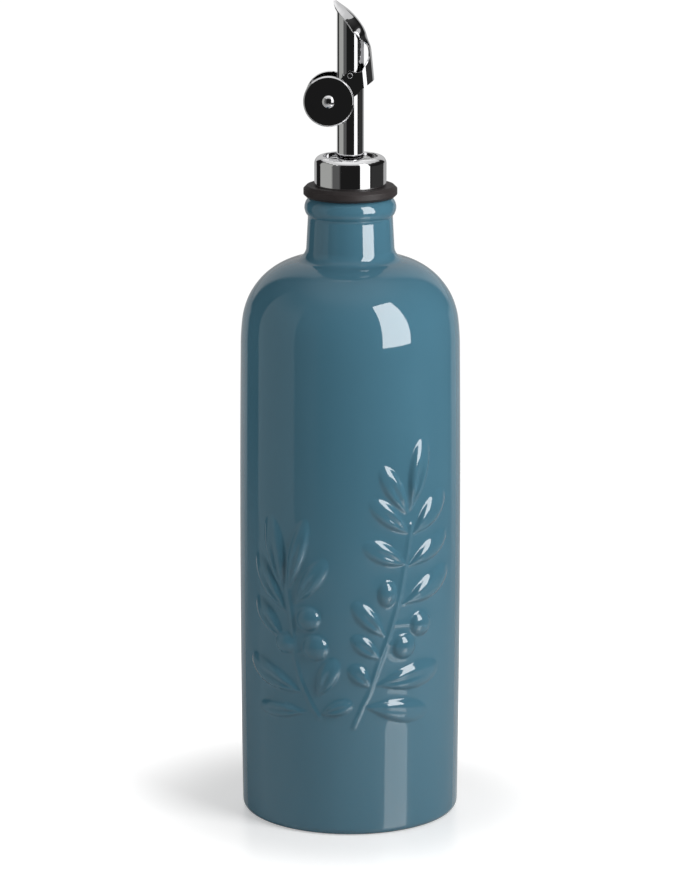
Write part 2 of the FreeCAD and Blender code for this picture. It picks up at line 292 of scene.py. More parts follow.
@dataclass(frozen=True)
class RubberFinish(Finish):
    """Matt dark brown rubber with a moulded grain."""

    dark: Colour = (0.014, 0.011, 0.011)
    worn: Colour = (0.026, 0.021, 0.021)
    cloud_scale: float = 240.0
    grain_scale: float = 2600.0
    grain_depth: float = 0.00006
    grain_strength: float = 0.5
    roughness: float = 0.55
    roughness_change: float = 0.2
    specular: float = 0.35

    def build(self) -> bpy.types.Material:
        """Builds the rubber.

        Returns:
            Its material.
        """
        material, graph, shader = self.start("matt_rubber")
        grain = graph.noise(self.grain_scale, detail=3.0)
        cloud = graph.noise(self.cloud_scale)
        graph.feed(shader, {
            "Base Color": graph.blend(cloud, self.dark, self.worn),
            "Roughness": self.roughness + self.roughness_change * (grain - 0.5),
            "Specular IOR Level": self.specular,
            "Normal": graph.bump(grain, self.grain_depth, self.grain_strength),
        })
        return material


@dataclass(frozen=True)
class SteelFinish(Finish):
    """Mirror-polished steel with a trace of upright polishing lines."""

    name: str
    tint: Colour = (0.86, 0.86, 0.87)
    line_scale: float = 1400.0
    line_stretch: Spot = (1, 1, 0.04)
    line_depth: float = 0.000002
    line_strength: float = 0.3
    smear_scale: float = 120.0
    smear_span: Place = (0.45, 0.7)
    roughness: float = 0.03
    roughness_change: float = 0.02

    def build(self) -> bpy.types.Material:
        """Builds the steel.

        Returns:
            Its material.
        """
        material, graph, shader = self.start(self.name)
        lines = graph.noise(self.line_scale, stretch=self.line_stretch)
        smear = graph.ramp(graph.noise(self.smear_scale), self.smear_span)
        graph.feed(shader, {
            "Base Color": (*self.tint, 1.0),
            "Metallic": 1.0,
            "Roughness": self.roughness + self.roughness_change * smear,
            "Normal": graph.bump(lines, self.line_depth, self.line_strength),
        })
        return material


@dataclass(frozen=True)
class BoardFinish(Finish):
    """Pale glossy board whose glow only the camera sees and whose rim fades into the backdrop."""

    tone: Colour = (0.62, 0.62, 0.62)
    near_glow: Colour = (0.40, 0.40, 0.40)
    far_glow: Colour = (0.85, 0.85, 0.85)
    glow_span: Place = (0.045, 0.11)
    fade_span: Place = (0.16, 0.735)
    cloud_scale: float = 3.0
    roughness: float = 0.27
    roughness_change: float = 0.03
    ior: float = 1.75

    def build(self) -> bpy.types.Material:
        """Builds the board's finish.

        Returns:
            Its material.
        """
        material, graph, shader = self.start("pale_board")
        place = graph.out("ShaderNodeTexCoord", output="Object")
        reach = graph.out("ShaderNodeVectorMath", {"operation": "LENGTH"}, {0: place}, "Value")
        seen = graph.out("ShaderNodeLightPath", output="Is Camera Ray")
        glow = graph.blend(graph.ramp(reach, self.glow_span), self.near_glow, self.far_glow)
        graph.feed(shader, {
            "Base Color": (*self.tone, 1.0),
            "IOR": self.ior,
            "Roughness": self.roughness + self.roughness_change * graph.noise(self.cloud_scale, detail=1.0),
            "Emission Color": graph.blend(seen, (0.0, 0.0, 0.0), glow),
            "Emission Strength": 1.0,
            "Alpha": graph.ramp(reach, self.fade_span, (1.0, 0.0)),
        })
        return material


# ---------------------------------------------------------------- meshes

def mesh_object(name: str, vertices: np.ndarray, faces: Sequence[Sequence[int]],
                material: bpy.types.Material) -> bpy.types.Object:
    """Makes a smooth mesh object at the origin.

    Args:
        name: the piece's name.
        vertices: places in millimetres.
        faces: corner numbers of each face.
        material: its finish.

    Returns:
        The new object.
    """
    mesh = bpy.data.meshes.new(name)
    mesh.from_pydata((np.asarray(vertices) * MM).tolist(), [], [list(face) for face in faces])
    mesh.polygons.foreach_set("use_smooth", [True] * len(mesh.polygons))
    mesh.materials.append(material)
    mesh.update()
    piece = bpy.data.objects.new(name, mesh)
    bpy.context.scene.collection.objects.link(piece)
    return piece


def arc_points(centre: Place, radius: float, start: float, end: float, steps: int) -> list[Place]:
    """Points on a circle from one angle to another, in degrees, both ends included."""
    angles = np.radians(np.linspace(start, end, steps + 1))
    return [(centre[0] + radius * math.cos(a), centre[1] + radius * math.sin(a)) for a in angles]


def mirrored(section: Sequence[Place]) -> list[Place]:
    """A half section turned end for end, with its solid still on its left."""
    return [(radius, -height) for radius, height in reversed(section)]


def held(values: np.ndarray) -> np.ndarray:
    """The values kept between 0 and 1."""
    return np.clip(values, 0, 1)


def bell(reach: int, sigma: float) -> np.ndarray:
    """Gaussian weights that add up to 1, over reach steps each way."""
    weights = np.exp(-0.5 * (np.arange(-reach, reach + 1) / sigma) ** 2)
    return weights / weights.sum()


def distances(line: np.ndarray) -> np.ndarray:
    """Distance along a line to each of its points."""
    return np.concatenate([[0], np.cumsum(np.hypot(*np.diff(line, axis=0).T))])


def plain_mesh(blank: bpy.types.Object) -> bpy.types.Mesh:
    """The result of an object's modifiers as a mesh of its own."""
    bpy.context.view_layer.update()
    return bpy.data.meshes.new_from_object(blank.evaluated_get(bpy.context.evaluated_depsgraph_get()))


class Lathe:
    """Turns a half section into a closed solid with one geometry node tree."""

    MERGE = 1e-7
    SHARP = math.radians(40)

    def __init__(self) -> None:
        """Builds the tree once for all turned pieces."""
        self.tree = bpy.data.node_groups.new("turned_piece", "GeometryNodeTree")
        self.sockets: dict[str, str] = {}
        face = self.tree.interface
        face.new_socket("Geometry", in_out="OUTPUT", socket_type="NodeSocketGeometry")
        for name, kind in (("Section", "Geometry"), ("Steps Round", "Int"), ("Mouth Slope", "Float"),
                           ("Turn", "Vector"), ("Place", "Vector"), ("Sharp Angle", "Float"),
                           ("Finish", "Material")):
            item = face.new_socket(name, in_out="INPUT", socket_type="NodeSocket" + kind)
            self.sockets[name] = item.identifier
        self.fill(Graph(self.tree))

    def fill(self, graph: Graph) -> None:
        """Adds the tree's nodes.

        Args:
            graph: the empty tree.
        """
        start = graph.node("NodeGroupInput")
        given = {name: Socket(graph, start.outputs[name]) for name in self.sockets}
        rows = graph.out("GeometryNodeAttributeDomainSize", {"component": "MESH"},
                         {"Geometry": given["Section"]}, "Point Count")
        sheet = graph.out("GeometryNodeMeshGrid", None,
                          {"Vertices X": given["Steps Round"] + 1, "Vertices Y": rows}, "Mesh")
        index = graph.out("GeometryNodeInputIndex")
        column = index.apply("FLOOR", (index + 0.5) / rows)
        row = index - column * rows
        place = graph.out("GeometryNodeInputPosition")
        section = graph.out("GeometryNodeSampleIndex", {"data_type": "FLOAT_VECTOR", "domain": "POINT"},
                            {"Geometry": given["Section"], "Value": place, "Index": row})
        radius, lean, height = graph.parts(section)
        angle = column * math.tau / given["Steps Round"]
        east = radius * angle.apply("COSINE", angle)
        north = radius * angle.apply("SINE", angle)
        height = height - east * lean * given["Mouth Slope"]
        spot = graph.out("ShaderNodeCombineXYZ", None, {"X": east, "Y": north, "Z": height})
        skin = graph.out("GeometryNodeSetPosition", None, {"Geometry": sheet, "Position": spot})
        skin = graph.out("GeometryNodeMergeByDistance", None, {"Geometry": skin, "Distance": self.MERGE})
        skin = graph.out("GeometryNodeTransform", None,
                         {"Geometry": skin, "Translation": given["Place"], "Rotation": given["Turn"]})
        fold = graph.out("GeometryNodeInputMeshEdgeAngle", output="Unsigned Angle")
        sharp = graph.out("FunctionNodeCompare", {"data_type": "FLOAT", "operation": "GREATER_THAN"},
                          {"A": fold, "B": given["Sharp Angle"]})
        skin = graph.out("GeometryNodeSetShadeSmooth", {"domain": "EDGE"},
                         {0: skin, "Selection": sharp, "Shade Smooth": False})
        skin = graph.out("GeometryNodeRealizeInstances", None, {"Geometry": skin})
        skin = graph.out("GeometryNodeSetMaterial", None, {"Geometry": skin, "Material": given["Finish"]})
        graph.node("NodeGroupOutput", None, {"Geometry": skin})

    def turn(self, name: str, section: Sequence[Sequence[float]], material: bpy.types.Material,
             steps: int = 128, slope: float = 0.0, along_y: bool = False,
             place: Sequence[float] = (0, 0, 0)) -> bpy.types.Object:
        """Turns one piece.

        Args:
            name: the piece's name.
            section: (radius, height) or (radius, height, lean) of each point, in millimetres,
                with the solid on its left. A lean of 1 lets the point follow the mouth's slope.
            material: its finish.
            steps: faces round the axis.
            slope: fall of a leaning point for each millimetre towards +X.
            along_y: lays the axis along Y.
            place: moves the turned piece, in millimetres.

        Returns:
            The piece as a plain mesh.
        """
        points = [(p[0] * MM, p[2] if len(p) > 2 else 0.0, p[1] * MM) for p in section]
        chain = bpy.data.meshes.new(name + "_section")
        chain.from_pydata(points, [(n, n + 1) for n in range(len(points) - 1)], [])
        blank = bpy.data.objects.new(name + "_section", chain)
        bpy.context.scene.collection.objects.link(blank)
        modifier = blank.modifiers.new("turned", "NODES")
        modifier.node_group = self.tree
        values = {
            "Steps Round": steps,
            "Mouth Slope": slope,
            "Turn": (math.pi / 2, 0.0, 0.0) if along_y else (0.0, 0.0, 0.0),
            "Place": tuple(value * MM for value in place),
            "Sharp Angle": self.SHARP,
            "Finish": material,
        }
        for label, value in values.items():
            modifier[self.sockets[label]] = value
        mesh = plain_mesh(blank)
        blank.modifiers.remove(modifier)
        bpy.data.objects.remove(blank)
        mesh.name = name
        if not mesh.materials:
            mesh.materials.append(material)
        piece = bpy.data.objects.new(name, mesh)
        bpy.context.scene.collection.objects.link(piece)
        return piece


# ---------------------------------------------------------------- bottle

@dataclass(frozen=True)
class Leaf:
    """One raised leaf on the unrolled wall, its lean counted from upright."""

    round: float
    height: float
    length: float
    width: float
    lean: float
    relief: float = 2.4
    groove: float = 0.55


@dataclass(frozen=True)
class Olive:
    """One raised olive on the unrolled wall."""

    round: float
    height: float
    radius: float
    stretch: float = 1.0


@dataclass
class Sprigs:
    """Two olive sprigs as one height over the unrolled wall."""

    leaves: tuple[Leaf, ...] = (
        Leaf(-25.2, 88.0, 28.1, 8.2, -13),
        Leaf(-23.0, 88.3, 28.2, 6.0, 14),
        Leaf(-23.9, 80.9, 24.0, 7.9, -38),
        Leaf(-20.1, 84.4, 20.6, 6.9, 34),
        Leaf(-24.3, 70.6, 19.5, 7.7, -48),
        Leaf(-17.4, 52.1, 27.0, 8.5, -70),
        Leaf(-15.4, 45.3, 21.9, 5.9, -93),
        Leaf(-11.3, 51.2, 15.6, 7.1, 23),
        Leaf(-10.2, 45.1, 11.8, 5.2, 70),
        Leaf(22.0, 117.6, 26.9, 7.9, 14, 2.7, 0.60),
        Leaf(20.8, 116.6, 20.6, 6.8, -28, 2.1, 0.58),
        Leaf(21.6, 109.6, 19.8, 6.8, -48, 2.0, 0.52),
        Leaf(20.8, 98.5, 18.6, 7.3, -62, 2.0, 0.50),
        Leaf(22.9, 109.1, 21.2, 8.6, 50, 2.1, 0.20),
        Leaf(20.8, 97.8, 22.2, 7.1, 64, 2.0, 0.12),
        Leaf(18.9, 84.2, 24.9, 8.5, 66, 2.1, 0.20),
        Leaf(12.7, 72.8, 17.8, 6.3, -42, 2.0, 0.50),
        Leaf(10.9, 64.9, 13.6, 5.8, -50, 1.8, 0.50),
        Leaf(7.3, 54.8, 11.1, 6.0, -42, 1.8, 0.45),
        Leaf(8.7, 55.5, 27.5, 9.0, 82, 2.2, 0.42),
        Leaf(4.8, 48.0, 25.7, 8.3, 100, 2.0, 0.25),
    )
    olives: tuple[Olive, ...] = (
        Olive(-15.0, 79.5, 4.3), Olive(-24.3, 69.8, 3.8), Olive(-12.4, 69.1, 4.6),
        Olive(13.1, 88.8, 3.3, 1.4), Olive(26.6, 76.4, 4.4), Olive(19.7, 69.0, 4.4),
    )
    stems: tuple[tuple[Place, ...], ...] = (
        ((-23.4, 90.8), (-22.6, 85.5), (-20.9, 74.7), (-20.1, 63.8), (-18.2, 56.8), (-16.2, 52.6),
         (-13.9, 48.0), (-11.3, 43.9)),
        ((22.5, 113.0), (20.4, 100.4), (18.4, 89.7), (16.1, 80.8), (13.1, 71.3), (10.9, 65.6),
         (8.0, 56.6), (6.6, 52.3), (4.4, 48.0), (1.2, 40.3)),
    )
    twigs: tuple[tuple[Place, ...], ...] = (
        ((-19.9, 74.0), (-16.0, 78.0)),
        ((-20.2, 66.0), (-13.5, 69.0)),
        ((17.8, 84.5), (13.6, 87.5)),
        ((15.3, 77.5), (25.0, 77.0)),
        ((12.9, 70.5), (18.5, 69.5)),
    )
    stem_radius: float = 0.75
    stem_relief: float = 0.65
    twig_relief: float = 0.28
    olive_relief: float = 2.5
    olive_power: float = 1.1
    widest: float = 0.62
    taper_power: float = 1.1
    tip_run: float = 0.56
    tip_power: float = 0.9
    root_rise: float = 3.2
    root_power: float = 0.8
    flank: float = 0.58
    groove_half: float = 0.32
    groove_end: float = 0.88
    groove_fade: float = 2.6
    groove_rise: float = 5.0
    least_half: float = 1e-4

    def leaf_height(self, leaf: Leaf, around: np.ndarray, up: np.ndarray) -> np.ndarray:
        """Height of one leaf: a soft-edged pad with a groove along its middle.

        Args:
            leaf: the leaf.
            around: distance round the wall of each place.
            up: height of each place.

        Returns:
            Its relief at each place.
        """
        lean = math.radians(leaf.lean)
        run, rise = around - leaf.round, up - leaf.height
        along = (run * math.sin(lean) + rise * math.cos(lean)) / leaf.length
        aside = np.abs(run * math.cos(lean) - rise * math.sin(lean))
        inside = held(along)
        taper = np.sin(held(inside / self.widest) * math.pi / 2) ** self.taper_power
        tip = np.sqrt(held(1 - (held(inside - self.widest) / (1 - self.widest)) ** 2))
        half = leaf.width / 2 * np.where(inside < self.widest, taper, tip) + self.least_half
        share = held(aside / half)
        close = np.sin(held(held(1 - along) / self.tip_run) * math.pi / 2) ** self.tip_power
        root = held(inside * self.root_rise) ** self.root_power
        groove = np.exp(-(share / self.groove_half) ** 2) * held(inside * self.groove_rise)
        groove = groove * held((self.groove_end - inside) * self.groove_fade)
        pad = leaf.relief * root * close * ((1 - share ** 2) ** self.flank - leaf.groove * groove)
        return np.where((along > 0) & (along < 1) & (aside < half), pad, 0.0)

    def olive_height(self, olive: Olive, around: np.ndarray, up: np.ndarray) -> np.ndarray:
        """Height of one olive, the cap of a ball."""
        reach = np.hypot((around - olive.round), (up - olive.height) / olive.stretch) / olive.radius
        return self.olive_relief * np.sqrt(held(1 - reach ** 2)) ** self.olive_power

    def stem_height(self, points: Sequence[Place], relief: float, around: np.ndarray,
                    up: np.ndarray) -> np.ndarray:
        """Height of one stem, a thin round line.

        Args:
            points: the places that it runs through.
            relief: its height.
            around: distance round the wall of each place.
            up: height of each place.

        Returns:
            Its relief at each place.
        """
        nearest = np.full(around.shape, np.inf)
        for (x0, z0), (x1, z1) in zip(points, points[1:]):
            run, rise = x1 - x0, z1 - z0
            share = held(((around - x0) * run + (up - z0) * rise) / (run ** 2 + rise ** 2))
            nearest = np.minimum(nearest, np.hypot(around - x0 - share * run, up - z0 - share * rise))
        return relief * np.exp(-(nearest / self.stem_radius) ** 2)

    def height(self, around: np.ndarray, up: np.ndarray) -> np.ndarray:
        """Relief of everything.

        Args:
            around: distance round the wall of each place.
            up: height of each place.

        Returns:
            The relief at each place.
        """
        lines = [(points, self.stem_relief) for points in self.stems]
        lines += [(points, self.twig_relief) for points in self.twigs]
        return np.maximum.reduce([
            np.zeros(around.shape),
            *[self.leaf_height(leaf, around, up) for leaf in self.leaves],
            *[self.stem_height(points, relief, around, up) for points, relief in lines],
            *[self.olive_height(olive, around, up) for olive in self.olives],
        ])


def blurred(values: np.ndarray, sigma: float) -> np.ndarray:
    """Gaussian blur over both axes.

    Args:
        values: a grid of numbers.
        sigma: its softness in cells.

    Returns:
        The blurred grid.
    """
    weights = bell(max(1, int(3 * sigma + 0.5)), sigma)
    for axis in (0, 1):
        values = np.apply_along_axis(np.convolve, axis, values, weights, mode="same")
    return values


@dataclass
class BottleBody:
    """Glazed body: a turned wall with the sprigs raised in its mesh."""

    foot_radius: float = 38.95
    foot_corner: float = 2.6
    belly_radius: float = 39.45
    belly_height: float = 58.0
    spring_radius: float = 39.0
    spring_height: float = 170.0
    shoulder_radius: float = 86.0
    shoulder_turn: float = 6.9
    dome_radius: float = 24.9
    neck_base_radius: float = 15.6
    neck_fillet: float = 4.7
    neck_length: float = 10.1
    waist_radius: float = 15.05
    bead_outer: float = 16.25
    bead_radius: float = 4.4
    bead_rise: float = 4.1
    bead_to_lip: float = 3.8
    lip_edge: float = 0.25
    lip_step: float = 0.45
    lip_ring: float = 0.6
    foot_rings: Place = (0.5, 0.9)
    neck_rings: Place = (0.33, 0.66)
    foot_steps: int = 10
    shoulder_steps: int = 14
    dome_steps: int = 44
    fillet_steps: int = 16
    bead_steps: int = 22
    plain_rows: int = 8
    plain_step: float = 3.75
    relief_turn: float = 3.0
    relief_reach: float = 50.0
    relief_low: float = 37.0
    relief_high: float = 149.0
    relief_wall: float = 37.45
    cell: float = 0.46
    soft: float = 0.24
    halo: float = 2.4
    halo_share: float = 0.28
    halo_gain: float = 1.25
    touch: float = 1e-6
    sprigs: Sprigs = field(default_factory=Sprigs)

    def wall_arc(self) -> tuple[Place, float]:
        """The wall's long arc through foot, belly and spring.

        Returns:
            Its centre and its radius.
        """
        points = [(self.foot_radius, self.foot_corner), (self.belly_radius, self.belly_height),
                  (self.spring_radius, self.spring_height)]
        (ax, az), (bx, bz), (cx, cz) = points
        twice = 2 * (ax * (bz - cz) + bx * (cz - az) + cx * (az - bz))
        sums = [x * x + z * z for x, z in points]
        x = (sums[0] * (bz - cz) + sums[1] * (cz - az) + sums[2] * (az - bz)) / twice
        z = (sums[0] * (cx - bx) + sums[1] * (ax - cx) + sums[2] * (bx - ax)) / twice
        return (x, z), math.hypot(ax - x, az - z)

    def wall_rows(self) -> list[Place]:
        """Rows of the wall from the foot's corner to the spring, close together behind the sprigs.

        Returns:
            Radius and height of each row.
        """
        (x, z), radius = self.wall_arc()
        low = np.linspace(self.foot_corner, self.relief_low, self.plain_rows)[1:-1]
        fine = np.arange(self.relief_low, self.relief_high, self.cell)
        high = np.linspace(self.relief_high, self.spring_height, self.plain_rows)
        return [(x + math.sqrt(radius ** 2 - (h - z) ** 2), h) for h in (*low, *fine, *high)]

    def section(self) -> list[Place]:
        """Half section of the body.

        Returns:
            Radius and height of each point, from the middle of the foot to the middle of the lip.
        """
        foot = self.foot_radius - self.foot_corner
        start = (self.spring_radius - self.shoulder_radius, self.spring_height)
        shoulder = arc_points(start, self.shoulder_radius, 0, self.shoulder_turn, self.shoulder_steps)
        turn = math.radians(self.shoulder_turn)
        dome = (shoulder[-1][0] - self.dome_radius * math.cos(turn),
                shoulder[-1][1] - self.dome_radius * math.sin(turn))
        fillet_x = self.neck_base_radius + self.neck_fillet
        rise = math.sqrt((self.dome_radius + self.neck_fillet) ** 2 - (fillet_x - dome[0]) ** 2)
        fillet = (fillet_x, dome[1] + rise)
        dome_end = math.degrees(math.atan2(rise, fillet_x - dome[0]))
        waist = (self.waist_radius, fillet[1] + self.neck_length)
        bead = (self.bead_outer - self.bead_radius, waist[1] + self.bead_rise)
        bead_start = -math.degrees(math.acos((waist[0] - bead[0]) / self.bead_radius))
        bead_end = math.degrees(math.asin((self.bead_to_lip - self.lip_edge) / self.bead_radius))
        lip = arc_points(bead, self.bead_radius, bead_start, bead_end, self.bead_steps)
        top, edge = bead[1] + self.bead_to_lip, lip[-1][0]
        return [
            (0.0, 0.0), *[(foot * share, 0.0) for share in self.foot_rings],
            *arc_points((foot, self.foot_corner), self.foot_corner, -90, 0, self.foot_steps),
            *self.wall_rows(),
            *shoulder[1:],
            *arc_points(dome, self.dome_radius, self.shoulder_turn, dome_end, self.dome_steps)[1:],
            *arc_points(fillet, self.neck_fillet, 180 + dome_end, 180, self.fillet_steps)[1:],
            *[(self.neck_base_radius + (waist[0] - self.neck_base_radius) * share,
               fillet[1] + self.neck_length * share) for share in self.neck_rings],
            waist, *lip, (edge - self.lip_step, top), (edge * self.lip_ring, top), (0.0, top),
        ]

    def columns(self) -> np.ndarray:
        """Columns of the wall, fine where the sprigs are.

        Returns:
            Distance round the wall of each.
        """
        fine = np.arange(-self.relief_reach, self.relief_reach + self.cell / 2, self.cell)
        rest = math.tau * self.belly_radius - 2 * self.relief_reach
        coarse = self.relief_reach + np.linspace(0, rest, int(rest / self.plain_step) + 1)[1:-1]
        return np.concatenate([fine, coarse])

    def relief(self, around: np.ndarray, up: np.ndarray) -> np.ndarray:
        """Softened relief on a regular grid.

        Args:
            around: distance round the wall of each column.
            up: height of each row.

        Returns:
            The relief, as rows by columns.
        """
        grid_up, grid_around = np.meshgrid(up, around, indexing="ij")
        sharp = self.sprigs.height(grid_around, grid_up)
        close = blurred(sharp, self.soft / self.cell)
        wide = blurred(sharp, self.halo / self.cell)
        return (1 - self.halo_share) * close + self.halo_share * wide * self.halo_gain

    def skin(self, rings: int, count: int) -> list[tuple[int, ...]]:
        """Faces of the closed skin: a fan at the foot, a fan at the lip and the bands between.

        Args:
            rings: rows between the two middles.
            count: corners of each row.

        Returns:
            Corner numbers of each face.
        """
        top = rings * count + 1
        last = top - count
        pairs = [(column, (column + 1) % count) for column in range(count)]
        faces: list[tuple[int, ...]] = []
        for column, after in pairs:
            faces += [(0, 1 + after, 1 + column), (top, last + column, last + after)]
        for low in range(1, last, count):
            faces += [(low + column, low + after, low + count + after, low + count + column)
                      for column, after in pairs]
        return faces

    def build(self, material: bpy.types.Material) -> bpy.types.Object:
        """Builds the body as one closed mesh.

        Args:
            material: its finish.

        Returns:
            The piece.
        """
        section, columns = np.array(self.section()), self.columns()
        count = len(columns)
        radius, height = (np.repeat(section[:, n:n + 1], count, axis=1) for n in (0, 1))
        fine = np.abs(columns) <= self.relief_reach + self.touch
        wall = (section[:, 1] >= self.relief_low - self.touch) & (section[:, 0] > self.relief_wall)
        wall &= section[:, 1] <= self.relief_high - self.cell / 2
        radius[np.ix_(wall, fine)] += self.relief(columns[fine], section[wall, 1])
        angles = columns / self.belly_radius - math.pi / 2 + math.radians(self.relief_turn)
        rings = np.stack([radius * np.cos(angles), radius * np.sin(angles), height], axis=2)[1:-1]
        vertices = np.vstack([(0, 0, section[0, 1]), rings.reshape(-1, 3), (0, 0, section[-1, 1])])
        return mesh_object("glazed_body", vertices, self.skin(len(rings), count), material)


# ---------------------------------------------------------------- pourer

@dataclass
class Pourer:
    """Stopper ring, cap and spout, turned pieces on one axis."""

    lathe: Lathe
    rubber: bpy.types.Material
    steel: bpy.types.Material
    ring_radius: float = 16.6
    ring_low: float = 224.185
    ring_high: float = 228.185
    ring_bottom: tuple[Place, ...] = ((-1.0, 0.0), (-0.9, 0.03), (-0.05, 0.85), (0.0, 0.98))
    ring_top: tuple[Place, ...] = ((0.0, -1.2), (-0.04, -1.1), (-1.1, -0.05), (-1.22, 0.0))
    cap_radius: float = 12.75
    cap_top: float = 238.685
    cap_round: float = 2.7
    cap_foot_round: float = 0.25
    well_radius: float = 9.6
    well_depth: float = 2.0
    well_round: float = 0.35
    well_corner: float = 0.3
    tube_radius: float = 4.75
    bore_radius: float = 4.05
    tube_base: float = 230.985
    mouth_centre: float = 286.391
    mouth_slope: float = 47.0
    lip_round: float = 0.22
    seat_gap: float = 0.02
    seat_chamfer: float = 0.1

    def ring(self) -> bpy.types.Object:
        """Rubber ring, its chamfers given as steps from its lower and upper outer corners.

        Returns:
            The piece.
        """
        corners = [(self.ring_radius + x, height + z) for height, steps in
                   ((self.ring_low, self.ring_bottom), (self.ring_high, self.ring_top)) for x, z in steps]
        section = [(0, self.ring_low), *corners, (0, self.ring_high)]
        return self.lathe.turn("rubber_ring", section, self.rubber, steps=160)

    def cap(self) -> bpy.types.Object:
        """Polished cap with its sunk well and the socket of the tube.

        Returns:
            The piece.
        """
        low, top, radius = self.ring_high, self.cap_top, self.cap_radius
        foot, edge, rim, corner = self.cap_foot_round, self.cap_round, self.well_round, self.well_corner
        floor = top - self.well_depth
        socket = self.tube_radius + self.seat_gap
        section = [
            (0, low), *arc_points((radius - foot, low + foot), foot, -90, 0, steps=4),
            *arc_points((radius - edge, top - edge), edge, 0, 90, steps=18),
            *arc_points((self.well_radius + rim, top - rim), rim, 90, 180, steps=8),
            *arc_points((self.well_radius - corner, floor + corner), corner, 0, -90, steps=6),
            (socket + self.seat_chamfer, floor), (socket, floor - self.seat_chamfer),
            (socket, self.tube_base), (0, self.tube_base),
        ]
        return self.lathe.turn("polished_cap", section, self.steel, steps=192)

    def tube(self) -> bpy.types.Object:
        """Spout tube with a slanted, softened mouth.

        Returns:
            The piece.
        """
        edge, base = self.lip_round, (self.bore_radius, self.tube_base, 0)
        level = self.mouth_centre - edge
        mouth = [*arc_points((self.tube_radius - edge, level), edge, 0, 90, steps=4),
                 *arc_points((self.bore_radius + edge, level), edge, 90, 180, steps=4)]
        section = [base, (self.tube_radius, self.tube_base, 0), *[(x, z, 1.0) for x, z in mouth], base]
        slope = math.tan(math.radians(self.mouth_slope))
        return self.lathe.turn("spout_tube", section, self.steel, steps=128, slope=slope)


@dataclass
class Weights:
    """The two discs, their pin and the flap's pivot studs."""

    lathe: Lathe
    steel: bpy.types.Material
    disc_steel: bpy.types.Material
    disc_radius: float = 8.95
    disc_thickness: float = 1.7
    disc_round: float = 0.7
    disc_bevel: float = 0.15
    pin_radius: float = 1.15
    head_radius: float = 2.2
    head_height: float = 0.9
    arm_half: float = 5.65
    pivot: Spot = (0.2, 0.0, 267.791)
    disc_back: float = 7.5
    disc_drop: float = 9.1
    stud_radius: float = 0.75
    stud_head: float = 0.95
    stud_thickness: float = 0.4
    stud_round: float = 0.2
    stud_gap: float = 0.1
    bore_radius: float = 4.05

    def centre(self) -> Spot:
        """Centre of the discs."""
        return self.pivot[0] - self.disc_back, 0.0, self.pivot[2] - self.disc_drop

    def turned(self, name: str, side: Side, section: Sequence[Place], material: bpy.types.Material,
               **choices: Any) -> bpy.types.Object:
        """Turns a piece of one side about an axis along Y, with the front's section mirrored for the rear."""
        section = mirrored(section) if side is Side.REAR else section
        return self.lathe.turn(f"{name}_{side.value}", section, material, along_y=True, **choices)

    def disc(self, side: Side) -> bpy.types.Object:
        """One counterweight disc.

        Args:
            side: where it is.

        Returns:
            The piece.
        """
        near, far = self.arm_half, self.arm_half + self.disc_thickness
        hole, radius, edge, bevel = self.pin_radius, self.disc_radius, self.disc_round, self.disc_bevel
        section = [
            (hole, near), (radius - bevel, near), (radius, near + bevel),
            *arc_points((radius - edge, far - edge), edge, 0, 90, steps=8), (hole, far), (hole, near),
        ]
        return self.turned("weight_disc", side, section, self.disc_steel, steps=160, place=self.centre())

    def pin(self) -> bpy.types.Object:
        """Pin with a domed head at each end.

        Returns:
            The piece.
        """
        face = self.arm_half + self.disc_thickness
        ball = (self.head_radius ** 2 + self.head_height ** 2) / (2 * self.head_height)
        spread = math.degrees(math.asin(self.head_radius / ball))
        dome = arc_points((0, face + self.head_height - ball), ball, 90 - spread, 90, steps=14)
        dome[-1] = (0.0, dome[-1][1])
        half = [(self.pin_radius, 0.0), (self.pin_radius, face), (self.head_radius, face), *dome]
        section = mirrored(half[1:]) + half
        return self.lathe.turn("weight_pin_domed", section, self.steel, steps=64, along_y=True, place=self.centre())

    def stud(self, side: Side) -> bpy.types.Object:
        """One pivot stud.

        Args:
            side: where it is.

        Returns:
            The piece.
        """
        inner = math.sqrt(self.bore_radius ** 2 - (self.pivot[0] + self.stud_radius) ** 2)
        start = self.arm_half + self.stud_gap
        end = start + self.stud_thickness
        soft = self.stud_round
        section = [
            (0, inner), (self.stud_radius, inner), (self.stud_radius, start), (self.stud_head, start),
            *arc_points((self.stud_head - soft, end - soft), soft, 0, 90, steps=6), (0, end),
        ]
        return self.turned("pivot_stud_head", side, section, self.steel, steps=48, place=self.pivot)


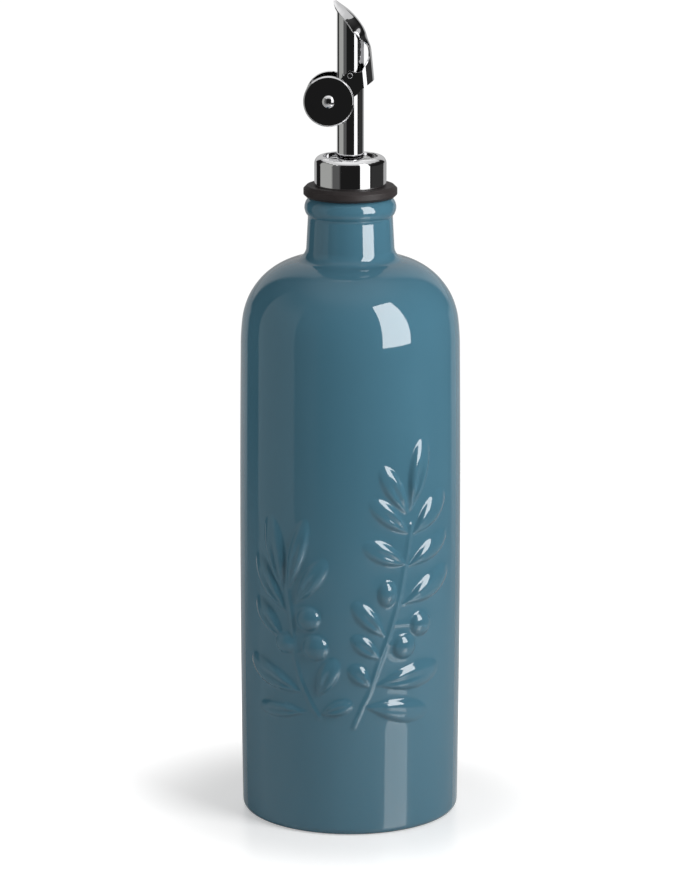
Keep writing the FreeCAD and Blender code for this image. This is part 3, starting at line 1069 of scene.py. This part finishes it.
@dataclass
class Flap:
    """Folded sheet over the spout, laid out flat as a pattern and bent along its crown.

    A place on the pattern is (distance along the crown from the tip, distance across).
    The crown runs over the lid, steps out at the waist and goes straight down the web.
    """

    crown: tuple[Place, ...] = (
        (-5.60, 293.85), (-4.45, 293.05), (-3.22, 292.15), (-1.09, 290.70), (0.53, 289.25), (1.93, 287.80),
        (3.05, 286.40), (4.03, 285.00), (4.88, 283.60), (5.45, 282.20), (5.80, 280.90), (6.20, 279.50),
        (6.95, 278.00), (7.30, 276.60), (7.72, 272.40), (8.27, 266.70), (9.55, 253.40),
    )
    edge: tuple[Place, ...] = (
        (3.96, 280.30), (5.35, 279.25), (6.20, 278.35), (6.70, 277.30), (6.95, 275.80), (6.93, 274.00),
        (6.50, 272.55), (5.71, 271.20), (4.75, 269.75), (3.70, 268.95), (2.60, 268.75),
    )
    hinge_ear: Spot = (0.2, 267.79, 1.55)
    disc_ear: Spot = (-7.3, 258.69, 2.9)
    lower_edge: tuple[Place, ...] = ((2.39, 260.80), (4.32, 263.00), (6.76, 264.60), (8.55, 265.80))
    half: float = 5.65
    tip_length: float = 8.0
    depths: tuple[Place, ...] = (
        (0.0, 0.60), (1.0, 1.30), (2.8, 2.05), (5.0, 2.60), (8.0, 2.95), (12.0, 3.25), (16.0, 3.6),
        (21.0, 5.0), (60.0, 5.0),
    )
    lid_end: float = 13.2
    open_section: Place = (12.5, 16.5)
    sheet: float = 0.6
    hinge_hole: float = 0.81
    spacing: float = 0.27
    rim_step: float = 0.25
    rim_gap: float = 0.1215
    rim_round: float = 0.13
    rim_angle: float = 55.0
    crown_step: float = 0.05
    crown_reach: int = 40
    crown_soft: float = 14.0
    slope_reach: int = 60
    slope_soft: float = 24.0
    least_half: float = 1e-4
    weld: float = 1e-6
    lid_start: float = 0.12
    lid_steps: int = 60
    side_steps: int = 12
    web_close: float = 0.1
    behind: float = -0.3
    fold_steps: int = 201

    def __post_init__(self) -> None:
        """Works out the crown line once."""
        self.along, self.line, self.inward = self.path()

    def smoothed(self, line: np.ndarray, reach: int, sigma: float) -> np.ndarray:
        """The line's two columns averaged over neighbours, shorter by reach at each end."""
        return np.stack([np.convolve(line[:, n], bell(reach, sigma), mode="valid") for n in (0, 1)], axis=1)

    def path(self) -> tuple[np.ndarray, np.ndarray, np.ndarray]:
        """Dense crown line.

        Returns:
            Distance along it, its places and its inward directions.
        """
        knots = np.array(self.crown)
        spans = distances(knots)
        along = np.arange(0, spans[-1], self.crown_step)
        line = np.stack([np.interp(along, spans, knots[:, n]) for n in (0, 1)], axis=1)
        steps = np.arange(1, self.crown_reach + 1)[:, None]
        padded = np.vstack([line[0] + (line[0] - line[1]) * steps[::-1], line,
                            line[-1] + (line[-1] - line[-2]) * steps])
        line = self.smoothed(padded, self.crown_reach, self.crown_soft)
        slope = np.pad(np.gradient(line, axis=0), ((self.slope_reach,) * 2, (0, 0)), mode="edge")
        slope = self.smoothed(slope, self.slope_reach, self.slope_soft)
        slope /= np.linalg.norm(slope, axis=1)[:, None]
        return along, line, np.stack([slope[:, 1], -slope[:, 0]], axis=1)

    def span(self, along: np.ndarray) -> tuple[np.ndarray, np.ndarray, np.ndarray]:
        """Measures of the section.

        Args:
            along: distance along the crown.

        Returns:
            Its half width, fold depth and quarter length at each distance.
        """
        share = held(1 - along / self.tip_length)
        half = self.half * np.sqrt(np.clip(1 - share ** 2, self.least_half, 1))
        depth = np.interp(along, *zip(*self.depths))
        return half, depth, math.pi / 2 * np.sqrt((half ** 2 + depth ** 2) / 2)

    def section(self, along: np.ndarray, share: np.ndarray) -> tuple[np.ndarray, np.ndarray]:
        """Section of the sheet: open on the lid, folded below it.

        Args:
            along: distance along the crown.
            share: how far from the crown (0) to the side (1).

        Returns:
            Its share of the half width and its share of the fold's depth.
        """
        low, high = self.open_section
        fold = held((along - low) / (high - low))
        fold = fold * fold * (3 - 2 * fold)
        turn = share * math.pi / 2
        side = (1 - fold) * share + fold * np.sin(turn)
        return side, (1 - fold) * share ** 2 + fold * (1 - np.cos(turn))

    def bend(self, along: np.ndarray, across: np.ndarray) -> np.ndarray:
        """Bends the pattern.

        Args:
            along: distance along the crown of each place.
            across: distance across from the crown.

        Returns:
            The places on the sheet's outer face.
        """
        half, depth, quarter = self.span(along)
        side, fall = self.section(along, held(np.abs(across) / quarter))
        drop = depth * fall + np.clip(np.abs(across) - quarter, 0, None)
        x, z = (np.interp(along, self.along, self.line[:, n]) + drop * np.interp(along, self.along, self.inward[:, n])
                for n in (0, 1))
        return np.stack([x, half * side * np.sign(across), z], axis=1)

    def unbend(self, place: Place) -> Place:
        """Finds a point of the side outline on the pattern.

        Args:
            place: the point in side view.

        Returns:
            Its place on the pattern.
        """
        offset = np.array(place) - self.line
        drop = (offset * self.inward).sum(axis=1)
        miss = np.abs(offset[:, 0] * self.inward[:, 1] - offset[:, 1] * self.inward[:, 0])
        near = int(np.argmin(miss + np.where(drop < self.behind, np.inf, 0.0)))
        along = self.along[near]
        _, depth, quarter = (float(value[0]) for value in self.span(np.array([along])))
        fall = max(float(drop[near]), 0.0)
        if fall >= depth:
            return along, quarter + fall - depth
        steps = np.linspace(0, 1, self.fold_steps)
        return along, quarter * float(np.interp(fall / depth, self.section(along, steps)[1], steps))

    def ear(self, ear: Spot, start: float, end: float) -> list[Place]:
        """Points round an ear, in side view, between two angles in degrees."""
        return arc_points(ear[:2], ear[2], start, end, steps=10)

    def outline(self) -> list[Place]:
        """One side's edge on the pattern.

        Returns:
            Its places, from the tip to the foot of the web.
        """
        lid = [(p, float(self.span(np.array([p]))[2][0]))
               for p in np.linspace(self.lid_start, self.lid_end, self.lid_steps)]
        side = [*self.edge, *self.ear(self.hinge_ear, 80, 118), *self.ear(self.disc_ear, 118, 300),
                *self.lower_edge]
        run = np.linspace(0, 1, self.side_steps, endpoint=False)
        dense = [(x0 + (x1 - x0) * t, z0 + (z1 - z0) * t) for (x0, z0), (x1, z1) in zip(side, side[1:]) for t in run]
        rest = [self.unbend(point) for point in [*dense, side[-1]]]
        return lid + rest + [(rest[-1][0] + self.web_close, 0.0)]

    def resample(self, points: Sequence[Place]) -> list[Place]:
        """Evens the steps of an outline.

        Args:
            points: its places.

        Returns:
            The same outline with even steps.
        """
        line = np.array(points)
        spans = distances(line)
        steps = np.linspace(0, spans[-1], int(spans[-1] / self.rim_step))
        return [(float(a), float(b)) for a, b in zip(*(np.interp(steps, spans, line[:, n]) for n in (0, 1)))]

    def loops(self) -> list[list[Place]]:
        """Edges of the whole pattern.

        Returns:
            Its rim and its two hinge holes, each as a closed loop.
        """
        half = self.resample(self.outline())
        along, across = self.unbend(self.hinge_ear[:2])
        turns = np.linspace(0, math.tau, 24, endpoint=False)
        holes = [[(along + self.hinge_hole * math.cos(turn), sign * across + self.hinge_hole * math.sin(turn))
                  for turn in turns] for sign in (1, -1)]
        return [[(0.0, 0.0), *half, *[(a, -b) for a, b in reversed(half[:-1])]], *holes]

    def build(self, material: bpy.types.Material) -> bpy.types.Object:
        """Cuts the pattern, bends it and gives it its thickness and softened rim.

        Args:
            material: its finish.

        Returns:
            The piece.
        """
        loops = self.loops()
        low, high = np.min(loops[0], axis=0), np.max(loops[0], axis=0)
        polygons = [np.array(loop) for loop in loops]
        keep = [(a, b) for a in np.arange(low[0], high[0], self.spacing)
                for b in np.arange(-high[1], high[1] + self.spacing, self.spacing) if self.clear_of((a, b), polygons)]
        points = [Vector(place) for places in (*loops, keep) for place in places]
        edges: list[Place] = []
        for loop in loops:
            start, count = len(edges), len(loop)
            edges += [(start + n, start + (n + 1) % count) for n in range(count)]
        flat, _, triangles, *_ = delaunay_2d_cdt(points, edges, [], 0, self.weld)
        flat = np.array([tuple(place) for place in flat])
        inside = [tuple(face) for face in triangles if self.inside(flat[list(face)].mean(axis=0), polygons)]
        used = sorted({corner for face in inside for corner in face})
        number = {old: new for new, old in enumerate(used)}
        faces = [tuple(number[corner] for corner in face) for face in inside]
        places = self.bend(*flat[used].T)
        return self.thicken(mesh_object("folded_flap", places, self.facing_out(places, faces), material))

    def facing_out(self, places: np.ndarray, faces: list[tuple[int, ...]]) -> list[tuple[int, ...]]:
        """Turns the faces away from the spout.

        Args:
            places: the corners.
            faces: corner numbers of each face, all in one sense.

        Returns:
            The faces, their corners in the order that points them outwards.
        """
        a, b, c = places[list(faces[len(faces) // 2])]
        outward = (a + b + c) * (1, 1, 0)
        if float(np.cross(b - a, c - a) @ outward) > 0:
            return faces
        return [tuple(reversed(face)) for face in faces]

    def inside(self, place: Sequence[float], polygons: Sequence[np.ndarray]) -> bool:
        """Tells whether a place is inside the first polygon and outside the others.

        Args:
            place: the place.
            polygons: the loops.

        Returns:
            True for a place on the sheet.
        """
        results, level = [], 1e-12
        for loop in polygons:
            x, y = loop[:, 0], loop[:, 1]
            nx, ny = np.roll(x, -1), np.roll(y, -1)
            straddle = (y > place[1]) != (ny > place[1])
            gap = np.where(ny == y, level, ny - y)
            crossing = place[0] < (nx - x) * (place[1] - y) / gap + x
            results.append(bool(np.count_nonzero(straddle & crossing) % 2))
        return results[0] and not any(results[1:])

    def clear_of(self, place: Place, polygons: Sequence[np.ndarray]) -> bool:
        """True for a place on the sheet and away from its edges."""
        return self.inside(place, polygons) and all(
            np.min(np.hypot(*(loop - place).T)) > self.rim_gap for loop in polygons)

    def thicken(self, piece: bpy.types.Object) -> bpy.types.Object:
        """Gives the sheet its thickness inwards and rounds its rim.

        Args:
            piece: the bent sheet.

        Returns:
            The same piece as a plain mesh.
        """
        solid = piece.modifiers.new("thickness", "SOLIDIFY")
        solid.thickness = self.sheet * MM
        solid.offset = -1
        solid.use_even_offset = False
        bevel = piece.modifiers.new("rim", "BEVEL")
        bevel.width = self.rim_round * MM
        bevel.segments = 2
        bevel.limit_method = "ANGLE"
        bevel.angle_limit = math.radians(self.rim_angle)
        bevel.harden_normals = True
        mesh = plain_mesh(piece)
        piece.modifiers.clear()
        piece.data = mesh
        return piece


# ---------------------------------------------------------------- studio

def spot(distance: float, turn: float, height: float) -> Spot:
    """A place round the bottle, its turn counted from -Y towards +X."""
    return distance * math.sin(turn), -distance * math.cos(turn), height


@dataclass(frozen=True)
class Panel:
    """A soft panel of the studio seen from the bottle: its span in degrees and its light.

    Azimuth is counted from the camera's side, positive to the camera's right.
    """

    azimuth: Place
    elevation: Place
    light: float
    edge: float = 1.5
    tint: Colour = (1.0, 1.0, 1.0)


@dataclass(frozen=True)
class Fill:
    """A large soft lamp that lights surfaces but shows in no reflection."""

    azimuth: float
    elevation: float
    light: float
    size: float = 0.9
    distance: float = 1.3
    lift: float = 0.1


@dataclass
class Studio:
    """White studio with soft panels, a pale glossy board and the camera."""

    distance: float = 1.4705
    height: float = 0.4769
    azimuth: float = 3.0
    pitch: float = 13.0
    yaw: float = 0.1494
    lens: float = 174.4
    sensor: float = 36.0
    clip: float = 50.0
    floor_radius: float = 0.75
    floor_steps: int = 96
    floor_height: float = -0.00002
    backdrop: float = 1.02
    base_light: float = 0.012
    softbox_azimuth: float = 48.0
    softbox_distance: float = 0.41
    softbox_low: float = 0.157
    softbox_size: Place = (0.228, 0.55)
    softbox_light: float = 9.6
    softbox_on_steel: float = 1.35
    image_light: float = 1.5
    image_top: float = 0.064
    image_size: Place = (0.1824, 0.20)
    card_light: float = 0.55
    card_size: float = 1.7
    card_height: float = 0.95
    panels: tuple[Panel, ...] = (
        Panel((-112, -60), (-40, 55), 0.38, 1.5, (1.0, 1.01, 0.97)),
        Panel((-60, -34), (-40, 55), 0.10, 2.5),
        Panel((70, 130), (-40, 5), 0.035, 3.0),
        Panel((-190, -138), (-40, 3), 0.42, 3.0),
        Panel((132, 190), (-40, 3), 0.42, 3.0),
        Panel((-195, -146), (3, 58), 0.55, 4.0),
        Panel((146, 195), (3, 58), 0.55, 4.0),
        Panel((-146, 146), (38, 115), 0.10, 16.0),
        Panel((-200, 200), (60, 115), 0.40, 14.0),
    )
    fills: tuple[Fill, ...] = (
        Fill(-72.0, 2.0, 3.8),
        Fill(84.0, 4.0, 1.55),
    )

    def camera(self) -> None:
        """Makes the camera at its place."""
        turn = math.radians(self.azimuth)
        data = bpy.data.cameras.new("camera")
        data.lens, data.sensor_width, data.sensor_fit = self.lens, self.sensor, "AUTO"
        data.clip_end = self.clip
        eye = bpy.data.objects.new("camera", data)
        eye.location = spot(self.distance, turn, self.height)
        eye.rotation_euler = (math.radians(90 - self.pitch), 0.0, turn + math.radians(self.yaw))
        bpy.context.scene.collection.objects.link(eye)
        bpy.context.scene.camera = eye

    def world(self) -> None:
        """Lights the scene from the panels and shows a plain pale backdrop."""
        world = bpy.data.worlds.new("studio")
        world.use_nodes = True
        world.node_tree.nodes.clear()
        graph = Graph(world.node_tree)
        east, north, up = graph.parts(graph.out("ShaderNodeTexCoord", output="Generated"))
        azimuth = east.apply("ARCTAN2", east, north * -1) * math.degrees(1) - self.azimuth
        elevation = up.apply("ARCSINE", up) * math.degrees(1)
        light = graph.out("ShaderNodeRGB")
        light.output.default_value = (self.base_light,) * 3 + (1.0,)
        for panel in self.panels:
            cover = self.cover(graph, azimuth, panel.azimuth, panel.edge)
            cover = cover * self.cover(graph, elevation, panel.elevation, panel.edge)
            light = graph.blend(cover, light, tuple(panel.light * part for part in panel.tint))
        lit = graph.out("ShaderNodeBackground", None, {"Color": light})
        plain = graph.out("ShaderNodeBackground", None, {"Color": (self.backdrop,) * 3 + (1.0,)})
        seen = graph.out("ShaderNodeLightPath", output="Is Camera Ray")
        mixed = graph.out("ShaderNodeMixShader", None, {0: seen, 1: lit, 2: plain})
        graph.node("ShaderNodeOutputWorld", None, {"Surface": mixed})
        bpy.context.scene.world = world

    def cover(self, graph: Graph, value: Socket, limits: Place, edge: float) -> Socket:
        """1 between the limits and 0 outside, with soft edges."""
        inside = graph.ramp(value, (limits[0] - edge, limits[0] + edge))
        return inside * graph.ramp(value, (limits[1] - edge, limits[1] + edge), (1.0, 0.0))

    def lamp(self, name: str, light: float, size: Place, place: Spot, rotation: Spot) -> bpy.types.Object:
        """Makes one rectangular lamp that the camera doesn't see.

        Args:
            name: the lamp's name.
            light: its brightness.
            size: its width and height.
            place: its middle.
            rotation: its turns about the axes.

        Returns:
            The lamp.
        """
        data = bpy.data.lights.new(name, "AREA")
        data.shape = "RECTANGLE"
        data.size, data.size_y = size
        data.energy = light * math.pi * size[0] * size[1]
        lamp = bpy.data.objects.new(name, data)
        lamp.location = place
        lamp.rotation_euler = rotation
        lamp.visible_camera = False
        bpy.context.scene.collection.objects.link(lamp)
        return lamp

    def group(self, name: str, members: Sequence[bpy.types.Object]) -> bpy.types.Collection:
        """Collects some objects for a lamp to name.

        Args:
            name: the collection's name.
            members: the objects.

        Returns:
            The collection, kept out of the scene.
        """
        made = bpy.data.collections.new(name)
        for member in members:
            made.objects.link(member)
        return made

    def lamps(self, matt: Sequence[bpy.types.Object], steel: Sequence[bpy.types.Object],
              board: bpy.types.Object) -> None:
        """Strip softbox to the right of the camera, its image in the board, and a card overhead.

        Args:
            matt: the glazed body, then the rubber ring.
            steel: the steel pieces.
            board: the board.
        """
        turn = math.radians(self.azimuth + self.softbox_azimuth)
        size, card = self.softbox_size, (self.card_size, self.card_size)
        facing = (math.radians(90), 0.0, turn)
        middle = spot(self.softbox_distance, turn, self.softbox_low + size[1] / 2)
        image = spot(self.softbox_distance, turn, -self.image_top - self.image_size[1] / 2)
        for name, light, lamp_size, place, rotation, lit in (
                ("strip_softbox", self.softbox_light, size, middle, facing, [*matt, board]),
                ("strip_softbox_on_steel", self.softbox_on_steel, size, middle, facing, steel),
                ("strip_softbox_image", self.image_light, self.image_size, image, facing, matt[:1]),
                ("top_card_on_steel", self.card_light, card, (0.0, 0.0, self.card_height), (0.0, 0.0, 0.0), steel)):
            links = self.lamp(name, light, lamp_size, place, rotation).light_linking
            links.receiver_collection = self.group(name + "_lights", lit)
            if place is image:    # it stands under the board, which must not shade it
                links.blocker_collection = self.group(name + "_shaded_by", lit)

    def fill(self, fill: Fill) -> None:
        """Makes one fill lamp.

        Args:
            fill: where it stands and how bright it is.
        """
        turn, lift = math.radians(self.azimuth + fill.azimuth), math.radians(fill.elevation)
        place = spot(fill.distance * math.cos(lift), turn, fill.distance * math.sin(lift) + fill.lift)
        rotation = (math.radians(90) - lift, 0.0, turn)
        lamp = self.lamp("fill", fill.light, (fill.size, fill.size), place, rotation)
        lamp.data.shape = "SQUARE"
        lamp.visible_glossy = False

    def floor(self) -> bpy.types.Object:
        """Round board that the bottle stands on.

        Returns:
            The board.
        """
        edge = arc_points((0, 0), self.floor_radius / MM, 0, 360, self.floor_steps)[:-1]
        ring = [(x, y, self.floor_height / MM) for x, y in edge]
        board = mesh_object("board", np.array(ring), [range(self.floor_steps)], BoardFinish().build())
        return board

    def build(self, matt: Sequence[bpy.types.Object], steel: Sequence[bpy.types.Object]) -> None:
        """Builds the whole studio.

        Args:
            matt: the glazed body, then the rubber ring.
            steel: the steel pieces.
        """
        view = bpy.context.scene.view_settings
        view.view_transform, view.look = "Standard", "None"
        self.camera()
        self.world()
        for fill in self.fills:
            self.fill(fill)
        self.lamps(matt, steel, self.floor())


# ---------------------------------------------------------------- assembly

def settle(piece: bpy.types.Object, body: Body, slot: Slot, *nodes: str) -> bpy.types.Object:
    """Ties a finished piece to its body and hides the CAD nodes that it stands for.

    Args:
        piece: the finished piece.
        body: the body it moves with.
        slot: the record's slot of its finish; not used.
        nodes: CAD nodes that it replaces.

    Returns:
        The same piece.
    """
    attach(piece, body.value)
    if nodes:
        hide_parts(*nodes)
    LOG.info("%s rides on %s with %d faces", piece.name, body.value, len(piece.data.polygons))
    return piece


def main() -> None:
    """Builds the bottle, the pourer, the flap's parts and the studio."""
    logging.basicConfig(level=logging.INFO, format="%(message)s")
    glaze = GlazeFinish().build()
    rubber = RubberFinish().build()
    steel = SteelFinish("polished_steel").build()
    disc_steel = SteelFinish("polished_disc_steel", tint=(0.82, 0.82, 0.83)).build()
    lathe = Lathe()

    pourer = Pourer(lathe, rubber, steel)
    matt = [
        settle(BottleBody().build(glaze), Body.BOTTLE, Slot.GLAZE, "bottle"),
        settle(pourer.ring(), Body.BOTTLE, Slot.RUBBER, "stopper"),
    ]
    bright = [
        settle(pourer.cap(), Body.BOTTLE, Slot.STEEL, "cap"),
        settle(pourer.tube(), Body.BOTTLE, Slot.STEEL, "spout"),
    ]
    weights = Weights(lathe, steel, disc_steel)
    for side in Side:
        bright += [
            settle(weights.stud(side), Body.BOTTLE, Slot.STEEL, "pivot_stud_" + side.value),
            settle(weights.disc(side), Body.FLAP, Slot.WEIGHT, "weight_" + side.value),
        ]
    bright += [
        settle(weights.pin(), Body.FLAP, Slot.STEEL, "weight_pin"),
        settle(Flap().build(steel), Body.FLAP, Slot.STEEL, "flap"),
    ]
    Studio().build(matt, bright)


if __name__ == "__main__":
    main()
